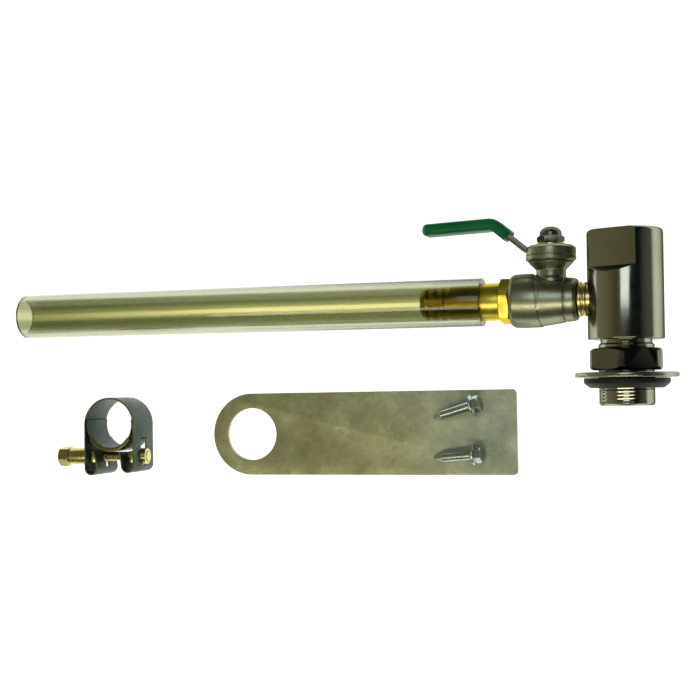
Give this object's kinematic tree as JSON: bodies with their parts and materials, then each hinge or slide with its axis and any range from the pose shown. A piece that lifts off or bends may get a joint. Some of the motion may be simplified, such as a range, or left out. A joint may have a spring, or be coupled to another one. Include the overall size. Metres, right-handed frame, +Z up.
{
  "type": "watering wand",
  "caption": "Clear-tube watering wand with lever ball valve and threaded outlet body, laid out with its tube clamp, mounting plate and screws.",
  "frame": {"origin": "centre of the kit's footprint, on the surface it lies on", "axes": "+X along the tube towards the outlet body, +Y from the threaded spigot towards the valve lever, +Z up off the surface"},
  "size_m": [0.3256, 0.1182, 0.045],
  "materials": {
    "clear_vinyl": "clear, faintly yellow green",
    "brass": "bright turned brass",
    "nickel": "matte nickel plate",
    "chrome": "polished chrome plate",
    "steel": "plain bright steel",
    "galvanised": "mottled galvanised zinc",
    "zinc": "grey zinc plate",
    "yellow_zinc": "yellow passivated zinc",
    "ptfe": "white fluoropolymer",
    "black_rubber": "matte black rubber",
    "green_vinyl": "dipped green vinyl"
  },
  "bodies": {
    "wand": {"clear_tube": "clear_vinyl", "hose_barb": "brass", "valve_end_cap": "nickel", "valve_body": "nickel", "ball_seat_inlet": "ptfe", "ball_seat_outlet": "ptfe", "stem_thrust_washer": "ptfe", "stem_packing": "ptfe", "brass_nipple": "brass", "outlet_body": "chrome"},
    "lever": {"valve_stem": "brass", "valve_ball": "chrome", "handle_hub": "nickel", "lever_strip": "steel", "lever_sleeve": "green_vinyl", "handle_washer": "yellow_zinc", "handle_nut": "nickel"},
    "washers": {"flange_washer": "steel", "rubber_gasket": "black_rubber"},
    "locknut": {"lock_nut": "chrome"},
    "clamp": {"clamp_band": "zinc", "clamp_bridge": "zinc", "trunnion_plain": "yellow_zinc", "trunnion_threaded": "yellow_zinc"},
    "clamp_bolt": {"clamp_bolt": "yellow_zinc", "bolt_spacer": "yellow_zinc"},
    "plate": {"mounting_plate": "galvanised"},
    "screw_1": {"screw_1": "steel"},
    "screw_2": {"screw_2": "steel"}
  },
  "joints": [
    {"name": "lever_turn", "type": "hinge", "parent": "wand", "child": "lever", "pos_m": [0.10778, 0.0434, 0.02126], "axis": [0, 1, 0], "range_deg": [0, 90]},
    {"name": "washer_slide", "type": "slide", "parent": "wand", "child": "washers", "axis": [0, -1, 0], "range_m": [0, 0.0045]},
    {"name": "nut_spin", "type": "hinge", "parent": "washers", "child": "locknut", "pos_m": [0.14036, -0.0056, 0.0225], "axis": [0, -1, 0], "range_deg": [0, 1080]},
    {"name": "clamp_lift", "type": "slide", "parent": "wand", "child": "clamp", "axis": [0, 0, 1], "range_m": [0, 0.07]},
    {"name": "clamp_bolt_turn", "type": "hinge", "parent": "clamp", "child": "clamp_bolt", "pos_m": [-0.13073, -0.04994, 0.0112], "axis": [1, 0.0072, 0], "continuous": true},
    {"name": "plate_lift", "type": "slide", "parent": "wand", "child": "plate", "axis": [0, 0, 1], "range_m": [0, 0.07]},
    {"name": "screw_1_lift", "type": "slide", "parent": "plate", "child": "screw_1", "axis": [0, 0, 1], "range_m": [0, 0.03]},
    {"name": "screw_2_lift", "type": "slide", "parent": "plate", "child": "screw_2", "axis": [0, 0, 1], "range_m": [0, 0.03]}
  ],
  "couplings": [
    {"joint": "nut_spin", "follows": "washer_slide", "rad_per_m": 4188.8}
  ]
}
